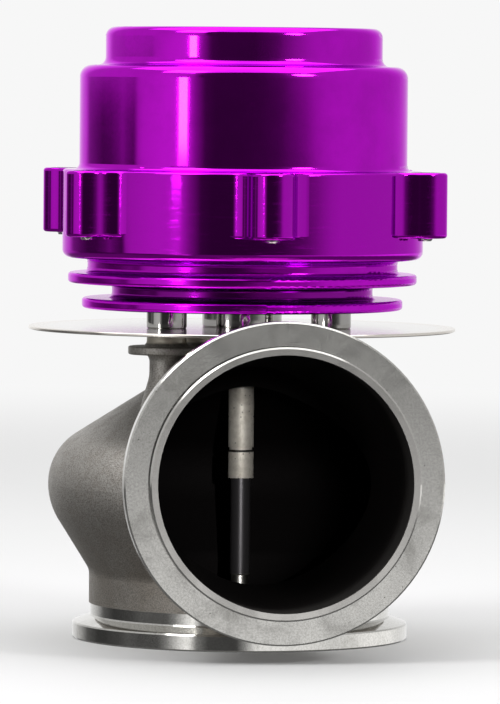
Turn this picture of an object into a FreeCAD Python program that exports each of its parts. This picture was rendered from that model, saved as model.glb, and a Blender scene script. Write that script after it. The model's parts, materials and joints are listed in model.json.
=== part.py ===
"""An external turbo wastegate: a cast valve housing with two V-band flanges, a poppet valve on a
long stem, and a sprung diaphragm actuator that stands off the hot casting on three posts.

The origin is the centre of the inlet flange's sealing face. +Z runs up the valve's axis and the
outlet points along -Y. Every length is in millimetres.
"""

import math
import os

import FreeCAD
import Part

V = FreeCAD.Vector
UP = V(0, 0, 1)

# Clearances
SLIDING_GAP = 0.05
THREAD_GAP = 0.03
BOLT_GAP = 0.2
SEAT_GAP = 0.3

# How far a cutting tool runs past what it cuts
PAST = 1.0

# Edge breaks up to this size are cut flat
LARGEST_CHAMFER = 0.5

# Directions around the valve's axis, in degrees from +X towards +Y
OUTLET_AZIMUTH = -90.0
POST_COUNT = 3
POST_AZIMUTHS = [OUTLET_AZIMUTH + 60 + k * 360 / POST_COUNT for k in range(POST_COUNT)]
EAR_COUNT = 6
EAR_AZIMUTHS = [OUTLET_AZIMUTH + k * 360 / EAR_COUNT for k in range(EAR_COUNT)]
PORT_AZIMUTH = 120.0

# V-band flanges: both have a rim, a back face that slopes for the clamp, and a turned neck
BAND_SLOPE = 20.0
BAND_EDGE = 0.4
INLET_RIM_R = 41.9
INLET_RIM_THICK = 4.0
INLET_NECK_R = 37.4
INLET_NECK_TOP = 8.7
OUTLET_RIM_R = 38.8
OUTLET_RIM_THICK = 3.6
OUTLET_NECK_R = 34.8
OUTLET_NECK_LENGTH = 7.6
OUTLET_LIP_R = 32.8
OUTLET_LIP = 2.0
OUTLET_BORE_R = 30.9

# Cast body
WALL = 4.5
CAST_NECK_R = 37.8
BELLY_R = 48.2
BELLY_Z = 38.5
SHOULDER_SLOPE = 32.3
SHOULDER_ROUND = 14.6
SKIRT_SLOPE = 32.0
SKIRT_ROUND = 17.4
SKIRT_FOOT_ROUND = 4.0
OUTLET_Z = 43.25
OUTLET_REACH = 75.0
TUBE_WALL = 3.2
TUBE_TAPER_END = 62.0
TUBE_INNER_END = 13.0
TUBE_INNER_R = 25.0
TUBE_END_ROUND = 6.0
TUBE_BLEND = 2.5

# Cast top: a three-lobed plate on pillars, a central column, and pads under the heat shield
PAD_TOP = 77.1
PAD_R = 4.9
COLUMN_R = 14.6
COLUMN_FOOT = 62.0
BOSS_R = 16.6
PAD_FLARE = 0.9
PAD_FLARE_ROUND = 1.2
PLATE_TOP = 73.5
PLATE_THICK = 2.1
PLATE_CORE_R = 19.0
LOBE_R = 9.5
LOBE_BLEND = 8.0
PLATE_EDGE = 0.5
POST_PITCH_R = 23.8
PILLAR_R = 4.2
PILLAR_FOOT_R = 6.9
PILLAR_FOOT_Z = 56.6
PILLAR_FLARE_TOP = 66.0
PILLAR_FLARE_ROUND = 9.0
PILLAR_HEAD_FLARE = 1.9
PILLAR_HEAD_ROUND = 2.4

# Valve seat ring, dropped into the inlet flange from below
SEAT_FLANGE_R = 35.5
SEAT_FLANGE_THICK = 3.0
SEAT_R = 33.0
SEAT_TOP = 8.2
SEAT_BORE_R = 28.5
SEAT_FACE = 2.0

# Poppet valve
STEM_R = 2.5
HEAD_R = 30.2
HEAD_MARGIN = 1.4
HEAD_CROWN = 1.0
HEAD_DISH_R = 19.0
HEAD_DISH = 1.0
HEAD_DISH_ROUND = 1.0
HEAD_FOOT_IN = 0.1
TULIP_R = 8.0
TULIP_ROUND = 3.0
STEM_NECK = 0.35
STEM_NECK_FOOT = 11.7
STEM_NECK_FOOT_ROUND = 1.5
STEM_NECK_TOP = 15.6

# Valve guide, pressed up into the casting
GUIDE_WALL = 0.7
GUIDE_FOOT = 40.0
GUIDE_GROOVE = 0.35
GUIDE_GROOVE_WIDE = 0.9
GUIDE_GROOVE_Z = 46.8
GUIDE_LINE = 0.15
GUIDE_LINE_WIDE = 0.3
GUIDE_LINE_Z = 55.2
GUIDE_BOSS_R = 4.6
GUIDE_BOSS_ROOT_R = 9.5
GUIDE_BOSS_FOOT = 63.2
GUIDE_BOSS_ROUND = 1.5

# Heat shield
SHIELD_R = 53.4
SHIELD_THICK = 0.8

# Posts and the central hub between the shield and the actuator
STANDOFF = 4.5
POST_R = 5.0
POST_EDGE = 0.3
HUB_R = 10.0
SPIGOT_R = 8.0
SPIGOT_DOWN = 2.0
SPIGOT_UP = 2.8
SCRAPER_R = 4.5
SCRAPER_THICK = 1.6
O_RING_WIRE_R = 0.75
STEM_SEAL_THICK = 2.0
SEAL_LIP_R = 5.2
SEAL_LIP = 0.7
CLIP_THICK = 1.0
CLIP_DEPTH = 0.6
CLIP_WIDE = 2.2
CLIP_OPENING = 50.0
CLIP_EYE_R = 1.4
CLIP_EYE_HOLE_R = 0.6

# Mounting bolts, with their heads inside the lower housing
BOLT_R = 2.5
BOLT_LENGTH = 20.0
BOLT_HEAD_R = 4.25
BOLT_HEAD = 5.0
BOLT_SOCKET_R = 2.3
BOLT_SOCKET = 2.5
BOLT_SEAT = 2.6
WASHER_R = 5.0
WASHER_THICK = 0.8

# Lower housing
FIN_THICK = 2.6
FIN_EDGE = 0.8
FIN_2_R = 40.1
NECK_2_R = 32.6
NECK_2 = 3.7
FIN_1_R = 43.6
NECK_1_R = 38.75
NECK_1 = 3.7
NECK_ROUND = 1.3
RING_R = 45.1
RING_BELOW = 12.2
RING_ROUND = 2.0
CHAMBER_R = 34.2
CHAMBER_ROUND = 2.5
CHAMBER_STEP_Z = 94.0
CHAMBER_TOP_R = 38.0
CHAMBER_STEP = 3.0
PORT_R = 4.35
PORT_SPOT_R = 6.3
PORT_SPOT_DEPTH = 0.7
PORT_SPOT_REACH = 9.0
PORT_BELOW_JOINT = 6.6

# Ears and their screws
EAR_OUT = 3.3
EAR_NOSE_R = 5.5
EAR_BLEND = 5.5
EAR_EDGE = 0.8
EAR_DROP = 6.4
SCREW_R = 2.0
SCREW_LENGTH = 12.1
SCREW_HEAD_R = 3.5
SCREW_HEAD = 4.0
SCREW_SOCKET_R = 1.7
SCREW_SOCKET = 2.0
SCREW_SINK = 4.8

# Top cap
RING_ABOVE = 9.8
CAP_R = 41.0
CAP_SHOULDER = 26.0
CAP_SHOULDER_ROUND = 3.0
CAP_FOOT_ROUND = 1.5
CROWN_R = 34.6
CROWN_HEIGHT = 9.5
CROWN_ROUND = 2.3
CROWN_FOOT_ROUND = 2.0
CAP_WALL = 4.4
CROWN_WALL = 4.0
CEILING = 3.5
CAP_INNER_ROUND = 3.0
CAP_PORT_UP = 20.0
SPRING_BOSS = 2.0

# Diaphragm and what clamps its middle to the stem
RUBBER = 1.0
BEAD = 1.2
BEAD_R = 42.2
BEAD_INNER_R = 36.0
RUBBER_DROP = 15.6
RUBBER_CENTRE_R = 31.6
RUBBER_CORNER = 1.5
RETAINER_R = 17.0
RETAINER_THICK = 1.8
PISTON_R = 30.5
PISTON_FLOOR = 2.4
PISTON_WALL = 2.0
PISTON_HEIGHT = 8.4
PISTON_CORNER = 1.4
STUD_R = 2.0
STUD_LENGTH = 11.7
NUT_FLATS = 7.0
NUT_HEIGHT = 4.0
NUT_WASHER_R = 4.5
NUT_WASHER_THICK = 0.8

# Springs
OUTER_SPRING_R = 25.5
OUTER_WIRE_R = 1.7
OUTER_TURNS = 6.0
INNER_SPRING_R = 17.0
INNER_WIRE_R = 1.4
INNER_TURNS = 7.5
LOCATOR_WALL = 2.0
WIRE_SIDES = 8

# Heights that follow from the sizes above
SHIELD_TOP = PAD_TOP + SHIELD_THICK
HOUSING_FOOT = SHIELD_TOP + STANDOFF
FIN_2_TOP = HOUSING_FOOT + FIN_THICK
FIN_1_FOOT = FIN_2_TOP + NECK_2
FIN_1_TOP = FIN_1_FOOT + FIN_THICK
RING_FOOT = FIN_1_TOP + NECK_1
JOINT_Z = RING_FOOT + RING_BELOW
CHAMBER_FLOOR = FIN_1_FOOT
RING_TOP = JOINT_Z + RING_ABOVE
SHOULDER_Z = RING_TOP + CAP_SHOULDER
CAP_TOP = SHOULDER_Z + CROWN_HEIGHT
CEILING_Z = CAP_TOP - CEILING
CAP_INNER_R = CAP_R - CAP_WALL
CROWN_INNER_R = CROWN_R - CROWN_WALL
RUBBER_FOOT = JOINT_Z - RUBBER_DROP
STUD_FOOT = RUBBER_FOOT - RETAINER_THICK
PISTON_FOOT = RUBBER_FOOT + RUBBER
SPRING_SEAT = PISTON_FOOT + PISTON_FLOOR
BOLT_SEAT_Z = HOUSING_FOOT + BOLT_SEAT
BOLT_HEAD_Z = BOLT_SEAT_Z + WASHER_THICK
SPIGOT_FOOT = PAD_TOP - SPIGOT_DOWN
SPIGOT_TOP = HOUSING_FOOT + SPIGOT_UP
SEAL_TOP = SPIGOT_TOP + STEM_SEAL_THICK
SCREW_SEAT_Z = RING_TOP - SCREW_SINK
SEAT_FACE_FOOT = SEAT_TOP - SEAT_FACE
CAVITY_NECK_R = CAST_NECK_R - WALL
PLATE_FOOT = PLATE_TOP - PLATE_THICK
PLATE_MIDDLE = PLATE_TOP - PLATE_THICK / 2
GUIDE_R = STEM_R + GUIDE_WALL
EAR_PITCH_R = RING_R + EAR_OUT
SPRING_LOCATOR_R = INNER_SPRING_R - INNER_WIRE_R - BOLT_GAP


def unit(vector):
    """The same direction with a length of one."""
    return V(vector).multiply(1 / vector.Length)


def polar(radius, azimuth, z=0.0):
    """A point at a radius and an azimuth in degrees around the valve's axis."""
    angle = math.radians(azimuth)
    return V(radius * math.cos(angle), radius * math.sin(angle), z)


def rounded_wire(corners):
    """A closed wire through corners (r, z) or (r, z, round).

    Each round is a tangent arc, and the smallest are chamfers instead.
    """
    points = [V(c[0], 0, c[1]) for c in corners]
    rounds = [c[2] if len(c) > 2 else 0.0 for c in corners]
    count = len(points)
    entries, exits, arcs = [], [], []
    for i, (point, radius) in enumerate(zip(points, rounds)):
        back = unit(points[i - 1] - point)
        ahead = unit(points[(i + 1) % count] - point)
        if radius == 0:
            entries.append(point)
            exits.append(point)
            arcs.append(None)
            continue
        half = back.getAngle(ahead) / 2
        reach = radius / math.tan(half)
        centre = point + unit(back + ahead) * (radius / math.sin(half))
        start, end = point + back * reach, point + ahead * reach
        middle = centre + unit(point - centre) * radius
        entries.append(start)
        exits.append(end)
        flat = radius <= LARGEST_CHAMFER
        arc = Part.LineSegment(start, end) if flat else Part.Arc(start, middle, end)
        arcs.append(arc.toShape())
    edges = []
    for i in range(count):
        if arcs[i]:
            edges.append(arcs[i])
        nearest = entries[(i + 1) % count]
        if (nearest - exits[i]).Length > 1e-6:
            edges.append(Part.LineSegment(exits[i], nearest).toShape())
    return Part.Wire(edges)


def turned(corners):
    """A solid turned around the valve's axis from a profile of rounded corners."""
    return Part.Face(rounded_wire(corners)).revolve(V(0, 0, 0), UP, 360)


def disc(radius, low, high, centre=V(0, 0, 0)):
    """A plain cylinder between two heights."""
    return Part.makeCylinder(radius, high - low, V(centre.x, centre.y, low), UP)


def washer(outer, inner, low, high, centre=V(0, 0, 0)):
    """A flat ring between two heights."""
    return disc(outer, low, high, centre).cut(disc(inner, low - PAST, high + PAST, centre))


def towards_outlet(solid):
    """Lay a solid that was turned around +Z along the outlet's axis."""
    solid.rotate(V(0, 0, 0), V(1, 0, 0), 90)
    solid.translate(V(0, 0, OUTLET_Z))
    return solid


def radial_hole(radius, near, far, azimuth, z):
    """A cylinder that runs outwards from the valve's axis."""
    return Part.makeCylinder(radius, far - near, polar(near, azimuth, z), polar(1, azimuth))


def lobed_outline(core_r, lobe_r, pitch_r, blend_r, azimuths):
    """A closed wire round a disc with equal lobes, joined to it by concave arcs."""
    core_reach, lobe_reach = core_r + blend_r, lobe_r + blend_r
    cosine = (core_reach**2 + pitch_r**2 - lobe_reach**2) / (2 * core_reach * pitch_r)
    spread = math.degrees(math.acos(cosine))
    step = 360 / len(azimuths)
    edges = []
    for azimuth in azimuths:
        lobe = polar(pitch_r, azimuth)
        before, after = (polar(core_reach, azimuth + s) for s in (-spread, spread))
        on_core = [polar(core_r, azimuth + s) for s in (-spread, spread)]
        on_lobe = [lobe + unit(c - lobe) * lobe_r for c in (before, after)]
        for centre, start, end in (
            (before, on_core[0], on_lobe[0]),
            (after, on_lobe[1], on_core[1]),
        ):
            middle = centre + unit(unit(start - centre) + unit(end - centre)) * blend_r
            edges.append(Part.Arc(start, middle, end).toShape())
        edges.append(Part.Arc(on_lobe[0], polar(pitch_r + lobe_r, azimuth), on_lobe[1]).toShape())
        gap_middle = polar(core_r, azimuth + step / 2)
        gap_end = polar(core_r, azimuth + step - spread)
        edges.append(Part.Arc(on_core[1], gap_middle, gap_end).toShape())
    return Part.Wire(Part.__sortEdges__(edges))


def flat_edges(solid, z):
    """The edges of a solid that lie flat at one height."""
    return [e for e in solid.Edges if abs(e.BoundBox.ZMin - z) < 1e-4 and abs(e.BoundBox.ZMax - z) < 1e-4]


def lobed_plate(outline, low, high, edge, rounded_z):
    """A plate with a lobed outline, its rim rounded at the heights given."""
    face = Part.Face(outline)
    face.translate(V(0, 0, low))
    plate = face.extrude(V(0, 0, high - low))
    for z in rounded_z:
        plate = plate.makeFillet(edge, flat_edges(plate, z))
    return plate


def band_slope(rim_r, neck_r):
    """How far along its axis a flange's sloping back face runs."""
    return (rim_r - neck_r) * math.tan(math.radians(BAND_SLOPE))


def belly_corners(inset):
    """The corners of the cast belly's profile, moved inwards by a wall."""
    shoulder_turn = math.radians(90 - SHOULDER_SLOPE)
    skirt_turn = math.radians(SKIRT_SLOPE)
    shoulder_round, skirt_round = SHOULDER_ROUND - inset, SKIRT_ROUND - inset
    return (
        (BELLY_R - inset, BELLY_Z - skirt_round * math.tan(skirt_turn / 2), skirt_round),
        (BELLY_R - inset, BELLY_Z + shoulder_round * math.tan(shoulder_turn / 2), shoulder_round),
    )


def shoulder_z(radius, inset):
    """The height of the sloping shoulder, or of the ceiling under it, at a radius."""
    corner = belly_corners(inset)[1]
    return corner[1] + (corner[0] - radius) * math.tan(math.radians(SHOULDER_SLOPE))


def skirt_z(radius, inset):
    """The height of the sloping skirt, or of the floor inside it, at a radius."""
    corner = belly_corners(inset)[0]
    return corner[1] - (corner[0] - radius) / math.tan(math.radians(SKIRT_SLOPE))


def tube_r(reach):
    """The outlet passage's radius at a distance from the valve's axis."""
    share = min(1.0, (reach - TUBE_INNER_END) / (TUBE_TAPER_END - TUBE_INNER_END))
    return TUBE_INNER_R + (OUTLET_BORE_R - TUBE_INNER_R) * share


def cast_outside():
    """The casting's outer form: flanges, belly and outlet tube, blended where they meet."""
    slope_top = INLET_RIM_THICK + band_slope(INLET_RIM_R, INLET_NECK_R)
    belly = turned(
        [
            (0, 0),
            (INLET_RIM_R, 0, BAND_EDGE),
            (INLET_RIM_R, INLET_RIM_THICK, BAND_EDGE),
            (INLET_NECK_R, slope_top, BAND_EDGE),
            (INLET_NECK_R, INLET_NECK_TOP),
            (CAST_NECK_R, INLET_NECK_TOP),
            (CAST_NECK_R, skirt_z(CAST_NECK_R, 0), SKIRT_FOOT_ROUND),
            *belly_corners(0),
            (COLUMN_R, shoulder_z(COLUMN_R, 0)),
            (0, shoulder_z(COLUMN_R, 0)),
        ]
    )
    face = OUTLET_REACH - OUTLET_LIP
    rim_back = face - OUTLET_RIM_THICK
    slope_back = rim_back - band_slope(OUTLET_RIM_R, OUTLET_NECK_R)
    neck_back = face - OUTLET_NECK_LENGTH
    tube = towards_outlet(
        turned(
            [
                (0, TUBE_INNER_END),
                (tube_r(TUBE_INNER_END) + TUBE_WALL, TUBE_INNER_END),
                (tube_r(TUBE_TAPER_END) + TUBE_WALL, TUBE_TAPER_END),
                (tube_r(TUBE_TAPER_END) + TUBE_WALL, neck_back),
                (OUTLET_NECK_R, neck_back),
                (OUTLET_NECK_R, slope_back, BAND_EDGE),
                (OUTLET_RIM_R, rim_back, BAND_EDGE),
                (OUTLET_RIM_R, face, BAND_EDGE),
                (OUTLET_LIP_R, face),
                (OUTLET_LIP_R, OUTLET_REACH, BAND_EDGE),
                (0, OUTLET_REACH),
            ]
        )
    )
    outside = belly.fuse(tube)
    seams = [e for e in outside.Edges if isinstance(e.Curve, Part.BSplineCurve)]
    return outside.makeFillet(TUBE_BLEND, seams)


def cast_top():
    """The plate, column, pillars, boss and pads that carry the heat shield."""
    outline = lobed_outline(PLATE_CORE_R, LOBE_R, POST_PITCH_R, LOBE_BLEND, POST_AZIMUTHS)
    plate = lobed_plate(outline, PLATE_FOOT, PLATE_TOP, PLATE_EDGE, (PLATE_FOOT, PLATE_TOP))
    top = plate.fuse([disc(COLUMN_R, COLUMN_FOOT, PLATE_TOP), flared_pad(BOSS_R)])
    pillar = turned(
        [
            (0, PILLAR_FOOT_Z),
            (PILLAR_FOOT_R, PILLAR_FOOT_Z),
            (PILLAR_R, PILLAR_FLARE_TOP, PILLAR_FLARE_ROUND),
            (PILLAR_R, PLATE_MIDDLE - PILLAR_HEAD_FLARE, PILLAR_HEAD_ROUND),
            (PILLAR_R + PILLAR_HEAD_FLARE, PLATE_MIDDLE),
            (0, PLATE_MIDDLE),
        ]
    )
    pad = flared_pad(PAD_R)
    for azimuth in POST_AZIMUTHS:
        pieces = [pillar.copy(), pad.copy()]
        for piece in pieces:
            piece.translate(polar(POST_PITCH_R, azimuth))
        top = top.fuse(pieces)
    return top


def flared_pad(radius):
    """A round pad under the heat shield that widens where it meets the plate."""
    return turned(
        [
            (0, PLATE_MIDDLE),
            (radius + PAD_FLARE, PLATE_MIDDLE),
            (radius + PAD_FLARE, PLATE_TOP - PAD_FLARE / 4),
            (radius, PLATE_TOP + PAD_FLARE, PAD_FLARE_ROUND),
            (radius, PAD_TOP),
            (0, PAD_TOP),
        ]
    )


def cast_inside():
    """The space inside the casting: seat pocket, valve chamber and outlet passage."""
    ceiling_r = GUIDE_BOSS_ROOT_R
    chamber = turned(
        [
            (0, -PAST),
            (SEAT_FLANGE_R + SLIDING_GAP, -PAST),
            (SEAT_FLANGE_R + SLIDING_GAP, SEAT_FLANGE_THICK),
            (SEAT_R + SLIDING_GAP, SEAT_FLANGE_THICK),
            (SEAT_R + SLIDING_GAP, SEAT_TOP),
            (CAVITY_NECK_R, SEAT_TOP),
            (CAVITY_NECK_R, skirt_z(CAVITY_NECK_R, WALL), SKIRT_FOOT_ROUND),
            *belly_corners(WALL),
            (ceiling_r, shoulder_z(ceiling_r, WALL), GUIDE_BOSS_ROUND),
            (GUIDE_BOSS_R, GUIDE_BOSS_FOOT),
            (0, GUIDE_BOSS_FOOT),
        ]
    )
    passage = towards_outlet(
        turned(
            [
                (0, TUBE_INNER_END),
                (TUBE_INNER_R, TUBE_INNER_END, TUBE_END_ROUND),
                (OUTLET_BORE_R, TUBE_TAPER_END),
                (OUTLET_BORE_R, OUTLET_REACH + PAST),
                (0, OUTLET_REACH + PAST),
            ]
        )
    )
    return chamber.fuse(passage)


def valve_housing():
    """The stainless casting, with the bores for the guide, the hub and the mounting bolts."""
    body = cast_outside().fuse(cast_top()).cut(cast_inside())
    body = body.cut(disc(GUIDE_R, GUIDE_FOOT, PAD_TOP + PAST))
    body = body.cut(disc(SPIGOT_R + SLIDING_GAP, SPIGOT_FOOT, PAD_TOP + PAST))
    bolt_foot = BOLT_HEAD_Z - BOLT_LENGTH - PAST
    for azimuth in POST_AZIMUTHS:
        place = polar(POST_PITCH_R, azimuth)
        body = body.cut(disc(BOLT_R + THREAD_GAP, bolt_foot, PAD_TOP + PAST, place))
    return body.removeSplitter()


def valve_seat():
    """The seat ring with its 45 degree face."""
    return turned(
        [
            (SEAT_BORE_R, 0, BAND_EDGE),
            (SEAT_FLANGE_R, 0, BAND_EDGE),
            (SEAT_FLANGE_R, SEAT_FLANGE_THICK),
            (SEAT_R, SEAT_FLANGE_THICK),
            (SEAT_R, SEAT_TOP),
            (SEAT_BORE_R + SEAT_FACE, SEAT_TOP),
            (SEAT_BORE_R, SEAT_FACE_FOOT),
        ]
    )


def valve():
    """The poppet valve: a flat head with a tulip back, a long stem and a threaded stud end."""
    face_z = SEAT_FACE_FOOT + SEAT_GAP - SEAT_BORE_R
    foot_r = SEAT_BORE_R - HEAD_FOOT_IN
    foot = face_z + foot_r
    margin = face_z + HEAD_R
    back = margin + HEAD_MARGIN
    stud_top = STUD_FOOT + STUD_LENGTH
    return turned(
        [
            (0, foot + HEAD_DISH),
            (HEAD_DISH_R - HEAD_DISH, foot + HEAD_DISH, HEAD_DISH_ROUND),
            (HEAD_DISH_R, foot),
            (foot_r, foot),
            (HEAD_R, margin),
            (HEAD_R, back, BAND_EDGE),
            (TULIP_R, back + HEAD_CROWN, TULIP_ROUND),
            (STEM_R - STEM_NECK / 2, STEM_NECK_FOOT, STEM_NECK_FOOT_ROUND),
            (STEM_R - STEM_NECK, STEM_NECK_TOP),
            (STEM_R, STEM_NECK_TOP + STEM_NECK),
            (STEM_R, STUD_FOOT),
            (STUD_R, STUD_FOOT),
            (STUD_R, stud_top - BAND_EDGE),
            (STUD_R - BAND_EDGE, stud_top),
            (0, stud_top),
        ]
    )


def valve_guide():
    """The long guide tube, with a groove and a turned line round the length in the gas."""
    guide = washer(GUIDE_R, STEM_R + SLIDING_GAP, GUIDE_FOOT, SPIGOT_FOOT)
    for z, depth, wide in (
        (GUIDE_GROOVE_Z, GUIDE_GROOVE, GUIDE_GROOVE_WIDE),
        (GUIDE_LINE_Z, GUIDE_LINE, GUIDE_LINE_WIDE),
    ):
        guide = guide.cut(washer(GUIDE_R + PAST, GUIDE_R - depth, z, z + wide))
    return guide


def guide_hub():
    """The polished hub that centres the actuator on the casting."""
    hub = turned(
        [
            (STEM_R + SLIDING_GAP, SPIGOT_FOOT),
            (SPIGOT_R, SPIGOT_FOOT),
            (SPIGOT_R, SHIELD_TOP),
            (HUB_R, SHIELD_TOP, POST_EDGE),
            (HUB_R, HOUSING_FOOT, POST_EDGE),
            (SPIGOT_R, HOUSING_FOOT),
            (SPIGOT_R, SPIGOT_TOP),
            (STEM_R + SLIDING_GAP, SPIGOT_TOP),
        ]
    )
    hub = hub.cut(disc(SCRAPER_R + SLIDING_GAP, SPIGOT_FOOT - PAST, SPIGOT_FOOT + SCRAPER_THICK))
    middle = (HOUSING_FOOT + SPIGOT_TOP) / 2
    groove_r = SPIGOT_R - 2 * O_RING_WIRE_R
    groove_foot, groove_top = middle - O_RING_WIRE_R, middle + O_RING_WIRE_R
    return hub.cut(washer(SPIGOT_R + PAST, groove_r, groove_foot, groove_top))


def stem_scraper():
    """The ring that scrapes soot off the stem below the hub."""
    return washer(SCRAPER_R, STEM_R + SLIDING_GAP, SPIGOT_FOOT, SPIGOT_FOOT + SCRAPER_THICK)


def hub_o_ring():
    """The rubber ring round the hub's upper spigot."""
    middle = (HOUSING_FOOT + SPIGOT_TOP) / 2
    return Part.makeTorus(SPIGOT_R - O_RING_WIRE_R, O_RING_WIRE_R, V(0, 0, middle), UP)


def stem_seal():
    """The lip seal that keeps boost pressure in the lower chamber."""
    bore = STEM_R + SLIDING_GAP
    return turned(
        [
            (bore, SPIGOT_TOP),
            (SPIGOT_R, SPIGOT_TOP),
            (SPIGOT_R, SEAL_TOP),
            (SEAL_LIP_R, SEAL_TOP),
            (SEAL_LIP_R - SEAL_LIP, SEAL_TOP - SEAL_LIP),
            (bore + SEAL_LIP, SEAL_TOP - SEAL_LIP),
            (bore, SEAL_TOP),
        ]
    )


def seal_clip():
    """The internal retaining ring over the seal: open at one side, with an eye at each end."""
    outer = SPIGOT_R + CLIP_DEPTH - SLIDING_GAP
    clip_top = SEAL_TOP + CLIP_THICK
    ring = washer(outer, outer - CLIP_WIDE, SEAL_TOP, clip_top)
    opening = Part.Face(
        Part.makePolygon(
            [
                V(0, 0, SEAL_TOP - PAST),
                polar(2 * outer, -CLIP_OPENING / 2, SEAL_TOP - PAST),
                polar(2 * outer, CLIP_OPENING / 2, SEAL_TOP - PAST),
                V(0, 0, SEAL_TOP - PAST),
            ]
        )
    ).extrude(V(0, 0, CLIP_THICK + 2 * PAST))
    ring = ring.cut(opening)
    for side in (-1, 1):
        eye = polar(outer - CLIP_WIDE, side * CLIP_OPENING / 2)
        ring = ring.fuse(disc(CLIP_EYE_R, SEAL_TOP, clip_top, eye))
        ring = ring.cut(disc(CLIP_EYE_HOLE_R, SEAL_TOP - PAST, clip_top + PAST, eye))
    return ring.removeSplitter()


def heat_shield():
    """The thin round shield between the hot casting and the actuator."""
    shield = turned(
        [
            (SPIGOT_R + SLIDING_GAP, PAD_TOP),
            (SHIELD_R, PAD_TOP, SHIELD_THICK / 4),
            (SHIELD_R, SHIELD_TOP, SHIELD_THICK / 4),
            (SPIGOT_R + SLIDING_GAP, SHIELD_TOP),
        ]
    )
    for azimuth in POST_AZIMUTHS:
        place = polar(POST_PITCH_R, azimuth)
        shield = shield.cut(disc(BOLT_R + BOLT_GAP, PAD_TOP - PAST, SHIELD_TOP + PAST, place))
    return shield


def spacer_post(azimuth):
    """One polished post between the shield and the actuator."""
    post = turned(
        [
            (BOLT_R + BOLT_GAP, SHIELD_TOP),
            (POST_R, SHIELD_TOP, POST_EDGE),
            (POST_R, HOUSING_FOOT, POST_EDGE),
            (BOLT_R + BOLT_GAP, HOUSING_FOOT),
        ]
    )
    post.translate(polar(POST_PITCH_R, azimuth))
    return post


def socket_screw(shank_r, length, head_r, head, socket_r, socket, seat_z):
    """A cap screw that points down, with its head's underside at one height."""
    screw = turned(
        [
            (0, seat_z - length),
            (shank_r - BAND_EDGE, seat_z - length),
            (shank_r, seat_z - length + BAND_EDGE),
            (shank_r, seat_z),
            (head_r, seat_z),
            (head_r, seat_z + head, BAND_EDGE),
            (0, seat_z + head),
        ]
    )
    top = seat_z + head
    corners = [polar(socket_r, 60 * k, top - socket) for k in range(7)]
    key = Part.Face(Part.makePolygon(corners)).extrude(V(0, 0, socket + PAST))
    return screw.cut(key)


def around(solid, pitch_r, azimuths):
    """Copies of a solid at each azimuth, as separate solids."""
    copies = []
    for azimuth in azimuths:
        copy = solid.copy()
        copy.translate(polar(pitch_r, azimuth))
        copies.append(copy)
    return Part.makeCompound(copies)


def mounting_bolts():
    """The bolts that hold the actuator, posts and shield to the casting."""
    bolt = socket_screw(
        BOLT_R, BOLT_LENGTH, BOLT_HEAD_R, BOLT_HEAD, BOLT_SOCKET_R, BOLT_SOCKET, BOLT_HEAD_Z
    )
    return around(bolt, POST_PITCH_R, POST_AZIMUTHS)


def mounting_washers():
    """The sealing washers under the mounting bolts' heads."""
    ring = washer(WASHER_R, BOLT_R + BOLT_GAP, BOLT_SEAT_Z, BOLT_HEAD_Z)
    return around(ring, POST_PITCH_R, POST_AZIMUTHS)


def ear_outline():
    """The outline shared by the lower housing's and the cap's clamping rings."""
    return lobed_outline(RING_R, EAR_NOSE_R, EAR_PITCH_R, EAR_BLEND, EAR_AZIMUTHS)


def drilled(body, near, skin_r, z):
    """A body with a port's hole through its wall and a flat cut into its skin round the hole."""
    body = body.cut(radial_hole(PORT_R, near, skin_r + PAST, PORT_AZIMUTH, z))
    flat = radial_hole(PORT_SPOT_R, skin_r - PORT_SPOT_DEPTH, skin_r + PORT_SPOT_REACH, PORT_AZIMUTH, z)
    return body.cut(flat).removeSplitter()


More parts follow.
